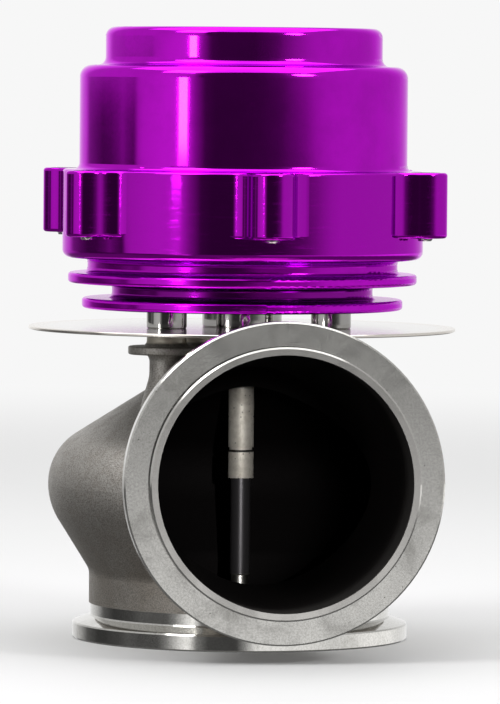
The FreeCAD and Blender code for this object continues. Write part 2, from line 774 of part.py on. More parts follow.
def lower_housing():
    """The finned lower half of the actuator, with its ring of ears and its pressure port."""
    body = turned(
        [
            (0, HOUSING_FOOT),
            (FIN_2_R, HOUSING_FOOT, FIN_EDGE),
            (FIN_2_R, FIN_2_TOP, FIN_EDGE),
            (NECK_2_R, FIN_2_TOP, NECK_ROUND),
            (NECK_2_R, FIN_1_FOOT, NECK_ROUND),
            (FIN_1_R, FIN_1_FOOT, FIN_EDGE),
            (FIN_1_R, FIN_1_TOP, FIN_EDGE),
            (NECK_1_R, FIN_1_TOP, NECK_ROUND),
            (NECK_1_R, RING_FOOT, NECK_ROUND),
            (RING_R, RING_FOOT, RING_ROUND),
            (RING_R, JOINT_Z),
            (0, JOINT_Z),
        ]
    )
    ear_foot = JOINT_Z - EAR_DROP
    body = body.fuse(lobed_plate(ear_outline(), ear_foot, JOINT_Z, EAR_EDGE, (ear_foot,)))
    body = body.cut(
        turned(
            [
                (0, CHAMBER_FLOOR),
                (CHAMBER_R, CHAMBER_FLOOR, CHAMBER_ROUND),
                (CHAMBER_R, CHAMBER_STEP_Z),
                (CHAMBER_TOP_R, CHAMBER_STEP_Z + CHAMBER_STEP),
                (CHAMBER_TOP_R, JOINT_Z - BEAD),
                (BEAD_R + SLIDING_GAP, JOINT_Z - BEAD),
                (BEAD_R + SLIDING_GAP, JOINT_Z + PAST),
                (0, JOINT_Z + PAST),
            ]
        )
    )
    body = body.cut(disc(SPIGOT_R + SLIDING_GAP, HOUSING_FOOT - PAST, CHAMBER_FLOOR + PAST))
    body = body.cut(disc(SPIGOT_R + CLIP_DEPTH, SEAL_TOP, SEAL_TOP + CLIP_THICK))
    for azimuth in POST_AZIMUTHS:
        place = polar(POST_PITCH_R, azimuth)
        body = body.cut(disc(BOLT_R + BOLT_GAP, HOUSING_FOOT - PAST, CHAMBER_FLOOR + PAST, place))
        body = body.cut(disc(WASHER_R + BOLT_GAP, BOLT_SEAT_Z, CHAMBER_FLOOR + PAST, place))
    for azimuth in EAR_AZIMUTHS:
        place = polar(EAR_PITCH_R, azimuth)
        body = body.cut(disc(SCREW_R + THREAD_GAP, ear_foot - PAST, JOINT_Z + PAST, place))
    port_z = JOINT_Z - PORT_BELOW_JOINT
    return drilled(body, CHAMBER_R / 2, RING_R, port_z)


def top_cap():
    """The stepped cap over the springs, turned from solid bar and hollow inside."""
    body = turned(
        [
            (0, JOINT_Z),
            (RING_R, JOINT_Z),
            (RING_R, RING_TOP, EAR_EDGE),
            (CAP_R, RING_TOP, CAP_FOOT_ROUND),
            (CAP_R, SHOULDER_Z, CAP_SHOULDER_ROUND),
            (CROWN_R, SHOULDER_Z, CROWN_FOOT_ROUND),
            (CROWN_R, CAP_TOP, CROWN_ROUND),
            (0, CAP_TOP),
        ]
    )
    body = body.fuse(lobed_plate(ear_outline(), JOINT_Z, RING_TOP, EAR_EDGE, (RING_TOP,)))
    body = body.cut(
        turned(
            [
                (0, JOINT_Z - PAST),
                (CAP_INNER_R, JOINT_Z - PAST),
                (CAP_INNER_R, SHOULDER_Z - CAP_WALL, CAP_INNER_ROUND),
                (CROWN_INNER_R, SHOULDER_Z - CAP_WALL),
                (CROWN_INNER_R, CEILING_Z, CROWN_ROUND),
                (SPRING_LOCATOR_R, CEILING_Z),
                (SPRING_LOCATOR_R, CEILING_Z - SPRING_BOSS),
                (0, CEILING_Z - SPRING_BOSS),
            ]
        )
    )
    for azimuth in EAR_AZIMUTHS:
        place = polar(EAR_PITCH_R, azimuth)
        body = body.cut(disc(SCREW_R + BOLT_GAP, JOINT_Z - PAST, RING_TOP + PAST, place))
        body = body.cut(disc(SCREW_HEAD_R + BOLT_GAP, SCREW_SEAT_Z, RING_TOP + PAST, place))
    port_z = JOINT_Z + CAP_PORT_UP
    return drilled(body, CAP_INNER_R / 2, CAP_R, port_z)


def cap_screws():
    """The screws that clamp the cap, the diaphragm's bead and the lower housing together."""
    screw = socket_screw(
        SCREW_R, SCREW_LENGTH, SCREW_HEAD_R, SCREW_HEAD, SCREW_SOCKET_R, SCREW_SOCKET, SCREW_SEAT_Z
    )
    return around(screw, EAR_PITCH_R, EAR_AZIMUTHS)


def diaphragm():
    """The rubber diaphragm, hung as a deep cup between its clamped bead and the piston."""
    wall_r = RUBBER_CENTRE_R + RUBBER
    return turned(
        [
            (STUD_R + THREAD_GAP, RUBBER_FOOT),
            (wall_r, RUBBER_FOOT, RUBBER_CORNER + RUBBER),
            (BEAD_INNER_R + RUBBER, JOINT_Z - BEAD),
            (BEAD_R, JOINT_Z - BEAD),
            (BEAD_R, JOINT_Z),
            (BEAD_INNER_R, JOINT_Z),
            (RUBBER_CENTRE_R, PISTON_FOOT, RUBBER_CORNER),
            (STUD_R + THREAD_GAP, PISTON_FOOT),
        ]
    )


def lower_retainer():
    """The plate under the diaphragm, against the stem's shoulder."""
    return turned(
        [
            (STUD_R + THREAD_GAP, STUD_FOOT),
            (RETAINER_R, STUD_FOOT, BAND_EDGE),
            (RETAINER_R, RUBBER_FOOT, BAND_EDGE),
            (STUD_R + THREAD_GAP, RUBBER_FOOT),
        ]
    )


def spring_piston():
    """The cupped piston over the diaphragm, with a step that centres each spring."""
    bore = STUD_R + THREAD_GAP
    locator_top = SPRING_SEAT + SPRING_BOSS
    piston_top = PISTON_FOOT + PISTON_HEIGHT
    return turned(
        [
            (bore, PISTON_FOOT),
            (PISTON_R, PISTON_FOOT, PISTON_CORNER),
            (PISTON_R, piston_top, PISTON_WALL / 3),
            (PISTON_R - PISTON_WALL, piston_top, PISTON_WALL / 3),
            (PISTON_R - PISTON_WALL, SPRING_SEAT),
            (SPRING_LOCATOR_R, SPRING_SEAT),
            (SPRING_LOCATOR_R, locator_top, BAND_EDGE),
            (SPRING_LOCATOR_R - LOCATOR_WALL, locator_top, BAND_EDGE),
            (SPRING_LOCATOR_R - LOCATOR_WALL, SPRING_SEAT),
            (bore, SPRING_SEAT),
        ]
    )


def stem_washer():
    """The washer between the piston and the stem's nut."""
    top = SPRING_SEAT + NUT_WASHER_THICK
    return washer(NUT_WASHER_R, STUD_R + THREAD_GAP, SPRING_SEAT, top)


def stem_nut():
    """The hexagon nut that holds the diaphragm stack on the stem."""
    foot = SPRING_SEAT + NUT_WASHER_THICK
    corner_r = NUT_FLATS / 2 / math.cos(math.radians(30))
    corners = [polar(corner_r, 60 * k, foot) for k in range(7)]
    nut = Part.Face(Part.makePolygon(corners)).extrude(V(0, 0, NUT_HEIGHT))
    nut = nut.common(
        turned(
            [
                (0, foot),
                (NUT_FLATS / 2, foot),
                (corner_r, foot + BAND_EDGE),
                (corner_r, foot + NUT_HEIGHT - BAND_EDGE),
                (NUT_FLATS / 2, foot + NUT_HEIGHT),
                (0, foot + NUT_HEIGHT),
            ]
        )
    )
    return nut.cut(disc(STUD_R + THREAD_GAP, foot - PAST, foot + NUT_HEIGHT + PAST))


def coil_spring(mean_r, wire_r, turns):
    """A compression spring from the piston to the cap's ceiling, its ends ground flat."""
    height = CEILING_Z - SPRING_SEAT
    pitch = (height - wire_r) / turns
    start = V(mean_r, 0, SPRING_SEAT + wire_r / 2)
    helix = Part.makeHelix(pitch, height - wire_r, mean_r)
    helix.translate(V(0, 0, start.z))
    across = V(1, 0, 0)
    up = unit(V(0, 2 * math.pi * mean_r, pitch)).cross(across)
    corners = []
    for k in range(WIRE_SIDES + 1):
        angle = math.radians((k + 0.5) * 360 / WIRE_SIDES)
        corners.append(start + across * (wire_r * math.cos(angle)) + up * (wire_r * math.sin(angle)))
    coil = Part.Wire(helix.Edges).makePipeShell([Part.makePolygon(corners)], True, True)
    return coil.common(disc(mean_r + 2 * wire_r, SPRING_SEAT, CEILING_Z))


def main():
    os.makedirs("parts", exist_ok=True)
    nodes = {
        "valve_housing": valve_housing(),
        "valve_seat": valve_seat(),
        "valve": valve(),
        "valve_guide": valve_guide(),
        "guide_hub": guide_hub(),
        "stem_scraper": stem_scraper(),
        "hub_o_ring": hub_o_ring(),
        "stem_seal": stem_seal(),
        "seal_clip": seal_clip(),
        "heat_shield": heat_shield(),
        "mounting_bolts": mounting_bolts(),
        "mounting_washers": mounting_washers(),
        "lower_housing": lower_housing(),
        "diaphragm": diaphragm(),
        "lower_retainer": lower_retainer(),
        "spring_piston": spring_piston(),
        "stem_washer": stem_washer(),
        "stem_nut": stem_nut(),
        "outer_spring": coil_spring(OUTER_SPRING_R, OUTER_WIRE_R, OUTER_TURNS),
        "inner_spring": coil_spring(INNER_SPRING_R, INNER_WIRE_R, INNER_TURNS),
        "top_cap": top_cap(),
        "cap_screws": cap_screws(),
    }
    for number, azimuth in enumerate(POST_AZIMUTHS, start=1):
        nodes[f"spacer_post_{number}"] = spacer_post(azimuth)
    for name, shape in nodes.items():
        solids = len(shape.Solids)
        print(f"{name}: solids {solids}, valid {shape.isValid()}, volume {shape.Volume:.1f}")
        shape.exportStep(f"parts/{name}.step")


main()
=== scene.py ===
"""Looks of the turbo wastegate: finishes for every piece, and its threads, screws, springs and diaphragm.

Lengths are in metres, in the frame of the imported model: +Z up the valve's axis, the outlet along -Y,
and the origin at the centre of the inlet flange's sealing face. Shaders and new pieces work in
millimetres.
"""

import json
import math

import bpy
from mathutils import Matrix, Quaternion, Vector


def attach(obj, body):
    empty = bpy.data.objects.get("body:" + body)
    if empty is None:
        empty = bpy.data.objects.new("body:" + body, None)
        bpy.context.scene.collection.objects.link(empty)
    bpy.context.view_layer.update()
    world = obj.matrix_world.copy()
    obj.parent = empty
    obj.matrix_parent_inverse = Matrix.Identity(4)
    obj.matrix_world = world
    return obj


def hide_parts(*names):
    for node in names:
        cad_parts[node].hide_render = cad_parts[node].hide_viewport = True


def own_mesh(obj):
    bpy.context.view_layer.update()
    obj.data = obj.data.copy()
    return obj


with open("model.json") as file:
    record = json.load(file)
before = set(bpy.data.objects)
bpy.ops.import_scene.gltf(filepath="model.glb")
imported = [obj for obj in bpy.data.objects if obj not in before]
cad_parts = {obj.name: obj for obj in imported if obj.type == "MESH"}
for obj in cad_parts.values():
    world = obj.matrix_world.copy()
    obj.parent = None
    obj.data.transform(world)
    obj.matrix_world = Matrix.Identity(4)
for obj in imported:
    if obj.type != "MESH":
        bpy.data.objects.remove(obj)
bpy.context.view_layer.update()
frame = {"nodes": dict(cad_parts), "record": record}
NODES = frame["nodes"]
SLOTS = {part["node"]: part["material_slot"] for part in frame["record"]["subparts"]}
MM = 0.001

# Camera, as the photograph was taken
CAMERA_AZIMUTH = -8.5
CAMERA_DISTANCE = 1.5
CAMERA_HEIGHT = 0.1395
CAMERA_ROLL = 0.5
LENS_MM = 306.8
AIM_HEIGHT = 0.0715
AIM_RIGHT = 0.00208

# Soft lamps: name, azimuth, elevation, distance, width, height, brightness, shape
LAMP_TARGET = Vector((0.0, 0.0, 0.07))
LAMPS = (
    ("strip", -50.5, 5.25, 1.2, 0.13, 0.144, 26.0, "RECTANGLE"),
    ("high left", -62.0, 52.0, 1.2, 0.45, 0.45, 5.5, "RECTANGLE"),
    ("right", 36.0, 30.0, 1.2, 0.30, 0.30, 14.0, "ELLIPSE"),
    ("overhead", 0.0, 88.0, 1.0, 1.4, 1.4, 1.5, "RECTANGLE"),
)

# Beam into the outlet
BEAM_AZIMUTH, BEAM_ELEVATION, BEAM_DISTANCE = -3.0, 6.0, 1.5
BEAM_TARGET = Vector((0.0, 0.0, 0.036))
BEAM_WIDTH, BEAM_IRRADIANCE = 0.058, 1.2
BEAM_BLEND, BEAM_SOURCE_R = 0.6, 0.004

# The studio's brightness by azimuth, in degrees round the object from the outlet's side: above the
# horizon, just below it and lower down. It changes evenly from one pair to the next
ABOVE = (
    (-180, 1.0), (-160, 0.9), (-150, 0.6), (-85, 0.62), (-60, 0.75), (-50, 0.75), (-42, 0.30), (-36, 0.07),
    (-28, 0.05), (0, 0.05), (12, 0.09), (20, 0.15), (28, 0.32), (36, 0.44), (45, 0.55), (55, 0.6),
    (120, 0.6), (150, 0.8), (180, 1.0),
)
BELOW = (
    (-180, 1.0), (-154, 0.75), (-146, 0.25), (-137, 0.16), (-125, 0.06), (-115, 0.07), (-107, 0.14),
    (-102, 0.24), (-98, 0.15), (-91, 0.07), (-87, 0.5), (-83, 0.62), (-65, 0.75), (-50, 0.75), (-42, 0.30),
    (-35, 0.06), (-28, 0.04), (5, 0.04), (16, 0.06), (22, 0.10), (29, 0.14), (36, 0.22), (43, 0.40),
    (50, 0.54), (57, 0.6), (120, 0.6), (150, 0.8), (180, 1.0),
)
LOW = (
    (-180, 0.9), (-160, 0.7), (-152, 0.55), (-138, 0.13), (-122, 0.05), (-100, 0.07), (-91, 0.12),
    (-82, 0.08), (-66, 0.05), (-59, 0.27), (-52, 0.8), (-44, 1.5), (-38, 0.27), (-30, 0.08), (-10, 0.07),
    (-4, 0.4), (3, 1.2), (30, 1.2), (60, 0.9), (95, 1.3), (115, 1.3), (130, 1.0), (180, 0.9),
)
BRIGHTEST = 2.0

# Heights of a direction at which one band gives way to the next, and how bright the deepest band is
HORIZON_SOFT = 0.002
LOW_FROM, LOW_SOFT = -0.069, 0.009
DEEP_FROM, DEEP_SOFT, DEEP_LEVEL = -0.21, 0.09, 0.18

# What the camera sees behind and under the object
BACKDROP = 0.93
FLOOR_LEVEL = 0.72
FLOOR_R = 1.3

# Places on the casting, in millimetres
OUTLET_Z = 43.25
OUTLET_TURNED_FROM = 65.4
OUTLET_LIP_R = 32.8
INLET_TURNED_TO = 8.7
PLATE_TOP = 73.5
BOSS_R, BOSS_FOOT = 6.5, 60.0

# The middle of the casting's wall, which parts its inside, where shade is painted, from its outside
WALL_BELLY_R = 45.9
WALL_NECK_R = 35.5
SKIRT_TOP, SKIRT_LEAN = 34.15, 0.625
SHOULDER_FOOT, SHOULDER_LEAN = 45.3, 1.582
SHADED_INSIDE_TOP = 66.5
TUBE_START, TUBE_START_R, TUBE_WIDENS, TUBE_END_R = 13.0, 26.6, 0.12, 32.4
TUBE_SHADED_TO, MOUTH_FROM = 74.4, 64.0

# Places on the valve and its guide
STEM_NECK_FROM, STEM_NECK_TO = 10.4, 15.9
STEM_CLEAN_FROM = 78.0
GUIDE_GROOVE_Z, GUIDE_GROOVE_HALF = 46.8, 0.28

# Places on the actuator
SHIELD_TINT_FROM, SHIELD_TINT_TO = 46.0, 53.0
FIN_R = 40.1
RING_R = 45.1
RING_FOOT = 95.0
RING_TOP = 117.0
CAP_R = 41.0
JOINT_Z = 107.2
CEILING_Z = 149.0
SPRING_SEAT = 95.0
EAR_PITCH_R = 48.4
EAR_AZIMUTHS = [60 * k - 90 for k in range(6)]
SCREW_SEAT = 112.2
PORT_AZIMUTH = 120.0
PORT_WALL_R = 4.34

# Lathe rings to a millimetre, and rows of points to a turn of thread
LATHE_RINGS_PER_MM = 2.6
THREAD_ROWS = 8


class Graph:
    """Short ways to add nodes to a node tree. Sockets are named as Blender names them."""

    def __init__(self, tree):
        self.tree = tree

    def add(self, kind, sockets, **settings):
        """A node with its settings, and its sockets set to values or linked to other sockets."""
        node = self.tree.nodes.new(kind)
        for setting, value in settings.items():
            setattr(node, setting, value)
        for socket, value in sockets.items():
            if isinstance(value, bpy.types.NodeSocket):
                self.tree.links.new(value, node.inputs[socket])
            else:
                node.inputs[socket].default_value = value
        return node

    def math(self, operation, first, second=0.0, third=0.0):
        """The result of a Math node."""
        return self.add("ShaderNodeMath", {0: first, 1: second, 2: third}, operation=operation).outputs[0]

    def length(self, first, second):
        """The length of two numbers at right angles."""
        squares = [self.math("MULTIPLY", value, value) for value in (first, second)]
        return self.math("SQRT", self.math("ADD", *squares))

    def below(self, value, limit, soft=0.2):
        """One where a value is under a limit, and zero over it."""
        gap = self.math("SUBTRACT", limit, value)
        return self.fit(gap, -soft, soft)

    def place(self):
        """The place on the object in millimetres, as a vector."""
        place = self.add("ShaderNodeTexCoord", {}).outputs["Object"]
        return self.add("ShaderNodeVectorMath", {0: place, "Scale": 1 / MM}, operation="SCALE").outputs[0]

    def split(self, vector):
        """The three numbers of a vector."""
        return self.add("ShaderNodeSeparateXYZ", {0: vector}).outputs

    def join(self, x, y, z):
        """A vector of three numbers."""
        return self.add("ShaderNodeCombineXYZ", {0: x, 1: y, 2: z}).outputs[0]

    def noise(self, vector, size, detail=3.0, rough=0.55, distortion=0.0):
        """Noise whose blotches are about this many millimetres across."""
        sockets = {"Vector": vector, "Scale": 1 / size, "Detail": detail}
        sockets.update({"Roughness": rough, "Distortion": distortion})
        return self.add("ShaderNodeTexNoise", sockets).outputs["Fac"]

    def streaks(self, along, size, detail, rough):
        """Noise that changes along one number only."""
        return self.noise(self.join(along, 0.0, 0.0), size, detail, rough)

    def spots(self, vector, size):
        """Distance from scattered points this many millimetres apart."""
        return self.add("ShaderNodeTexVoronoi", {"Vector": vector, "Scale": 1 / size}).outputs["Distance"]

    def fit(self, value, low, high, to_low=0.0, to_high=1.0, smooth=True):
        """A value moved from one range to another and kept inside it."""
        sockets = {0: value, 1: low, 2: high, 3: to_low, 4: to_high}
        kind = "SMOOTHSTEP" if smooth else "LINEAR"
        return self.add("ShaderNodeMapRange", sockets, interpolation_type=kind).outputs[0]

    def mix(self, share, first, second):
        """One colour mixed into another."""
        node = self.add("ShaderNodeMix", {0: share}, data_type="RGBA")
        for socket, value in ((6, first), (7, second)):
            if isinstance(value, bpy.types.NodeSocket):
                self.tree.links.new(value, node.inputs[socket])
            else:
                node.inputs[socket].default_value = (*value, 1.0)
        return node.outputs[2]

    def blend(self, share, first, second):
        """One number mixed into another."""
        return self.add("ShaderNodeMix", {0: share, 2: first, 3: second}, data_type="FLOAT").outputs[0]

    def bump(self, height, depth, under=None):
        """A normal with this height of bump, its depth in millimetres, over another normal if given."""
        sockets = {"Height": height, "Distance": depth * MM, "Strength": 1.0}
        if under is not None:
            sockets["Normal"] = under
        return self.add("ShaderNodeBump", sockets).outputs[0]

    def turned(self, place):
        """Fine rings round the valve's axis, as a lathe leaves, as a height."""
        x, y, z = self.split(place)
        return self.streaks(self.math("ADD", self.length(x, y), z), 1 / LATHE_RINGS_PER_MM, 4.0, 0.7)

    def ramp(self, share, stops):
        """A level that changes evenly between stops of (place from 0 to 1, level)."""
        node = self.add("ShaderNodeValToRGB", {0: share})
        elements = node.color_ramp.elements
        while len(elements) > 1:
            elements.remove(elements[-1])
        for number, (position, level) in enumerate(stops):
            stop = elements[0] if number == 0 else elements.new(position)
            stop.position = position
            stop.color = grey(level)
        return node.outputs[0]


class Shader(Graph):
    """A material with a principled surface."""

    def __init__(self, name, sockets):
        self.material = bpy.data.materials.new(name)
        self.material.use_nodes = True
        super().__init__(self.material.node_tree)
        self.surface = self.tree.nodes["Principled BSDF"]
        for socket, value in sockets.items():
            self.surface.inputs[socket].default_value = value

    def set(self, socket, value):
        """Link a socket of the surface."""
        self.tree.links.new(value, self.surface.inputs[socket])


def grey(level):
    """A grey as a colour socket's value."""
    return (level, level, level, 1.0)


# Materials


def anodised(name):
    """Bright purple anodised aluminium: turned, dipped and sealed to a gloss, duller on the rings, with
    painted shade in the grooves between the fins.
    """
    purple, tint = (0.60, 0.002, 0.72), (0.95, 0.45, 1.0, 1.0)
    deeper, dusty, fin_groove_shade = (tuple(share * level for level in purple) for share in (0.88, 0.80, 0.42))
    gloss, worn, fin_rough, scratched = 0.055, 0.10, 0.15, 0.15
    coat = {"Coat Weight": 0.15, "Coat Roughness": 0.05, "Coat IOR": 1.5}
    shader = Shader(name, {"Metallic": 1.0, "Specular Tint": tint, **coat})
    place = shader.place()
    x, y, z = shader.split(place)
    across = shader.length(x, y)

    band = shader.math("MULTIPLY", shader.below(RING_FOOT - 0.5, z), shader.below(z, RING_TOP - 0.5))
    ring = shader.math("MULTIPLY", band, shader.below(RING_R - 1.0, across))
    fins = shader.below(z, RING_FOOT + 0.3, 0.5)
    # Painted shade: the grooves between the fins get a much darker purple, standing in for the shade in them
    fin_groove_shade_share = shader.math("MULTIPLY", fins, shader.below(across, FIN_R - 1.6, 1.2))

    cloud = shader.noise(place, 9.0, 4.0)
    tone = shader.mix(shader.fit(cloud, 0.35, 0.7), purple, deeper)
    tone = shader.mix(ring, tone, dusty)
    shader.set("Base Color", shader.mix(fin_groove_shade_share, tone, fin_groove_shade))

    speck = shader.noise(place, 0.5, 3.0, 0.7)
    glossy = shader.fit(speck, 0.2, 0.8, gloss, worn, smooth=False)
    glossy = shader.blend(fins, glossy, fin_rough)
    stretched = shader.join(shader.math("MULTIPLY", x, 0.05), shader.math("MULTIPLY", y, 0.05), z)
    scratch = shader.noise(stretched, 0.5, 5.0, 0.75)
    dull = shader.fit(scratch, 0.48, 0.74, gloss, scratched)
    shader.set("Roughness", shader.blend(ring, glossy, dull))

    normal = shader.bump(shader.turned(place), 0.0005, shader.bump(cloud, 0.004))
    shader.set("Normal", shader.bump(shader.blend(ring, 0.0, scratch), 0.0008, normal))
    return shader.material


def casting_inside(shader, x, y, z):
    """One on the surfaces inside the casting, where painted shade goes."""
    skirt = shader.math("MULTIPLY_ADD", z, SKIRT_LEAN, WALL_BELLY_R - SKIRT_TOP * SKIRT_LEAN)
    low = shader.math("MAXIMUM", shader.math("MINIMUM", skirt, WALL_BELLY_R), WALL_NECK_R)
    shoulder = shader.math("MULTIPLY_ADD", z, -SHOULDER_LEAN, WALL_BELLY_R + SHOULDER_FOOT * SHOULDER_LEAN)
    belly = shader.below(shader.length(x, y), shader.math("MINIMUM", low, shoulder))
    belly = shader.math("MULTIPLY", belly, shader.below(z, SHADED_INSIDE_TOP))
    tube_r = shader.math("MULTIPLY_ADD", y, -TUBE_WIDENS, TUBE_START_R - TUBE_START * TUBE_WIDENS)
    tube_r = shader.math("MINIMUM", tube_r, TUBE_END_R)
    height = shader.math("SUBTRACT", z, OUTLET_Z)
    tube = shader.below(shader.length(x, height), tube_r)
    tube = shader.math("MULTIPLY", tube, shader.below(y, -TUBE_START))
    tube = shader.math("MULTIPLY", tube, shader.below(-TUBE_SHADED_TO, y))
    return shader.math("MAXIMUM", belly, tube)


def painted_inside_shade(shader, x, y, z):
    """Painted shade inside the casting: near black, lighter in the outlet's mouth and on the guide's boss.
    """
    deepest_shade, mouth_shade, boss_shade = (0.006, 0.005, 0.005), (0.045, 0.042, 0.04), (0.20, 0.175, 0.145)
    mouth = shader.math("MULTIPLY", shader.below(y, -MOUTH_FROM, 6.0), 0.6)
    tone = shader.mix(mouth, deepest_shade, mouth_shade)
    boss = shader.math("MULTIPLY", shader.below(shader.length(x, y), BOSS_R), shader.below(BOSS_FOOT, z))
    return shader.mix(boss, tone, boss_shade)


def as_cast(shader, place, z):
    """The casting's own skin: its colour, darker and browner towards the bottom as painted shade, its
    roughness, grain and larger patches.
    """
    pale, low_shade_brown, patchy = (0.51, 0.49, 0.46), (0.33, 0.30, 0.26), (0.40, 0.37, 0.33)
    grain_dark, pad_pale = (0.17, 0.155, 0.14), (0.66, 0.61, 0.52)
    grain = shader.noise(place, 0.26, 4.0, 0.65)
    cloud = shader.noise(place, 12.0, 4.0, 0.6)
    patch = shader.noise(place, 3.5, 4.0, 0.6)
    # Painted shade with a brown tint: the casting gets darker and browner towards the bottom, standing in
    # for the shade under it
    low = shader.math("MULTIPLY", shader.fit(z, 14.0, 44.0, 1.0, 0.0), shader.fit(cloud, 0.3, 0.6, 0.5, 1.0))
    tone = shader.mix(low, pale, low_shade_brown)
    tone = shader.mix(shader.fit(patch, 0.45, 0.7, 0.0, 0.5), tone, patchy)
    tone = shader.mix(shader.fit(grain, 0.42, 0.62, 0.0, 0.85), tone, grain_dark)
    tone = shader.mix(shader.below(PLATE_TOP + 0.7, z), tone, pad_pale)
    rough = shader.fit(patch, 0.3, 0.7, 0.42, 0.54, smooth=False)
    return tone, rough, grain, patch


def as_turned(shader, place, outlet, inlet):
    """The turned flanges, worn at the outlet and polished at the inlet: colour, roughness and marks."""
    bright, worn, ring_dark = (0.68, 0.67, 0.64), (0.46, 0.45, 0.42), (0.40, 0.39, 0.37)
    pit_dark, speck_dark, lip = (0.20, 0.19, 0.17), (0.30, 0.29, 0.27), (0.58, 0.565, 0.54)
    x, y, z = shader.split(place)
    outlet_r = shader.length(x, shader.math("SUBTRACT", z, OUTLET_Z))
    outlet_across = shader.math("SUBTRACT", outlet_r, y)
    inlet_across = shader.math("ADD", shader.length(x, y), z)
    rings = shader.streaks(shader.blend(outlet, inlet_across, outlet_across), 0.16, 4.0, 0.75)
    wear = shader.noise(place, 9.0, 5.0, 0.6, 0.4)
    fine = shader.noise(place, 0.5, 4.0, 0.7)
    pits = shader.fit(shader.spots(place, 3.4), 0.035, 0.06, 1.0, 0.0)
    rim = shader.math("MULTIPLY", outlet, shader.below(outlet_r, OUTLET_LIP_R))

    tone = shader.mix(shader.fit(wear, 0.50, 0.72, 0.0, 0.7), bright, worn)
    tone = shader.mix(shader.fit(rings, 0.35, 0.75, 0.0, 0.35), tone, ring_dark)
    tone = shader.mix(pits, tone, pit_dark)
    tone = shader.mix(shader.fit(fine, 0.40, 0.66, 0.0, 0.30), tone, speck_dark)
    tone = shader.mix(rim, tone, lip)
    rough = shader.math("MULTIPLY_ADD", fine, 0.05, shader.fit(wear, 0.35, 0.7, 0.11, 0.18))
    polished = shader.fit(wear, 0.3, 0.7, 0.06, 0.11, smooth=False)
    marks = shader.math("MULTIPLY_ADD", rings, 0.006, shader.math("MULTIPLY", fine, 0.008))
    return tone, shader.blend(inlet, rough, polished), marks


def cast_steel():
    """Fine-grained stainless casting: painted shade inside, with turned faces at the two flanges."""
    shaded_inside_rough, shaded_inside_metal = 0.7, 0.3
    shader = Shader("cast_steel", {"Specular IOR Level": 0.08})
    place = shader.place()
    x, y, z = shader.split(place)
    outlet = shader.below(y, -OUTLET_TURNED_FROM, 0.05)
    inlet = shader.blend(outlet, shader.below(z, INLET_TURNED_TO, 0.05), 0.0)
    turned = shader.math("MAXIMUM", outlet, inlet)
    cast_tone, cast_rough, grain, patch = as_cast(shader, place, z)
    face_tone, face_rough, marks = as_turned(shader, place, outlet, inlet)

    # Painted shade: inside the casting the colour goes near black, standing in for the shade there; it is
    # also rougher and less metallic there
    soot_and_painted_shade = casting_inside(shader, x, y, z)
    tone = shader.mix(turned, cast_tone, face_tone)
    rough = shader.blend(turned, cast_rough, face_rough)
    shader.set("Base Color", shader.mix(soot_and_painted_shade, tone, painted_inside_shade(shader, x, y, z)))
    shader.set("Roughness", shader.blend(soot_and_painted_shade, rough, shaded_inside_rough))
    shader.set("Metallic", shader.blend(soot_and_painted_shade, 1.0, shaded_inside_metal))
    relief = shader.blend(turned, grain, marks)
    swell = shader.math("MULTIPLY", patch, shader.blend(turned, 1.0, 0.1))
    shader.set("Normal", shader.bump(relief, 0.09, shader.bump(swell, 0.04)))
    return shader.material


def turned_steel(name, base, roughness, ring_depth, blotch=0.1):
    """Bright turned metal with fine rings and faint clouding."""
    shader = Shader(name, {"Metallic": 1.0})
    place = shader.place()
    cloud = shader.noise(place, 5.0, 4.0)
    darker = tuple((1 - 2 * blotch) * level for level in base)
    shader.set("Base Color", shader.mix(shader.fit(cloud, 0.35, 0.7), base, darker))
    fine = shader.noise(place, 0.8, 3.0)
    shader.set("Roughness", shader.fit(fine, 0.25, 0.75, roughness * 0.85, roughness * 1.2, smooth=False))
    if ring_depth:
        shader.set("Normal", shader.bump(shader.turned(place), ring_depth))
    return shader.material


def guide_steel():
    """The valve's guide: dulled and speckled by heat, with painted shade in its groove."""
    pale, dull = (0.84, 0.79, 0.70), (0.66, 0.61, 0.53)
    speck_dark, guide_groove_shade = (0.22, 0.20, 0.17), (0.03, 0.027, 0.024)
    shader = Shader("guide_steel", {"Metallic": 0.5})
    place = shader.place()
    z = shader.split(place)[2]
    cloud = shader.noise(place, 2.2, 4.0, 0.65)
    speck = shader.fit(shader.spots(place, 1.5), 0.10, 0.17, 0.7, 0.0)
    gap = shader.math("ABSOLUTE", shader.math("SUBTRACT", z, GUIDE_GROOVE_Z))
    tone = shader.mix(shader.fit(cloud, 0.35, 0.7), pale, dull)
    tone = shader.mix(speck, tone, speck_dark)
    # Painted shade: the groove is coloured near black, standing in for the shade in it
    tone = shader.mix(shader.below(gap, GUIDE_GROOVE_HALF, 0.06), tone, guide_groove_shade)
    shader.set("Base Color", tone)
    shader.set("Roughness", shader.fit(cloud, 0.3, 0.7, 0.50, 0.66, smooth=False))
    shader.set("Normal", shader.bump(shader.turned(place), 0.004, shader.bump(cloud, 0.02)))
    return shader.material


